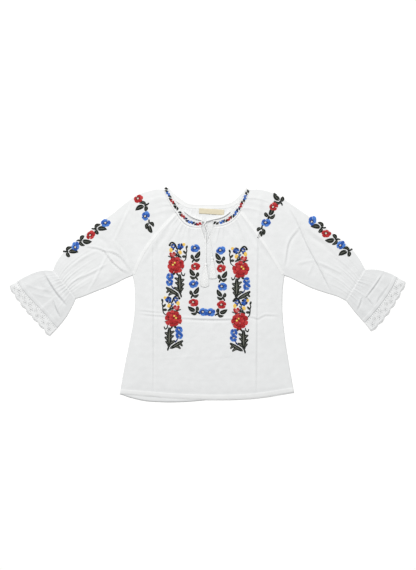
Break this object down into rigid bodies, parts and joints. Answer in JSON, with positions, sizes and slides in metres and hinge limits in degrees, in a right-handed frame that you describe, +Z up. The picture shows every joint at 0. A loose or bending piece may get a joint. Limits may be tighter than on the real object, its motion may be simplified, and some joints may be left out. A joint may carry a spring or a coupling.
{
  "type": "romanian ie blouse",
  "caption": "Girl's white cotton folk blouse laid flat: gathered raglan sleeves, bound neck with a V slit and tasselled ties, flounced cuffs edged with lace.",
  "frame": {"origin": "centre of the blouse's box, on the surface that it lies on", "axes": "+X across the blouse towards the wearer's left, +Y from the hem to the neck, +Z up through the layers"},
  "size_m": [0.8708, 0.4717, 0.0095],
  "materials": {
    "cotton": "matte crinkled cotton voile with coloured satin-stitch flowers",
    "neck_binding": "folded cotton binding, embroidered at the front",
    "lace": "white scalloped cotton lace with eyelets",
    "cord": "soft twisted white cotton cord",
    "label_tape": "plain cream satin tape, bare"
  },
  "bodies": {
    "root": {"body_front": "cotton", "body_back": "cotton", "sleeve_right": "cotton", "sleeve_left": "cotton", "cuff_flounce_right": "cotton", "cuff_flounce_left": "cotton", "cuff_lace_right_front": "lace", "cuff_lace_right_back": "lace", "cuff_lace_left_front": "lace", "cuff_lace_left_back": "lace", "neck_binding_front_right": "neck_binding", "neck_binding_front_left": "neck_binding", "neck_binding_back": "neck_binding", "neck_label": "label_tape", "tie_cord_right": "cord", "tie_cord_left": "cord", "tassel_right": "cord", "tassel_left": "cord"}
  },
  "joints": []
}
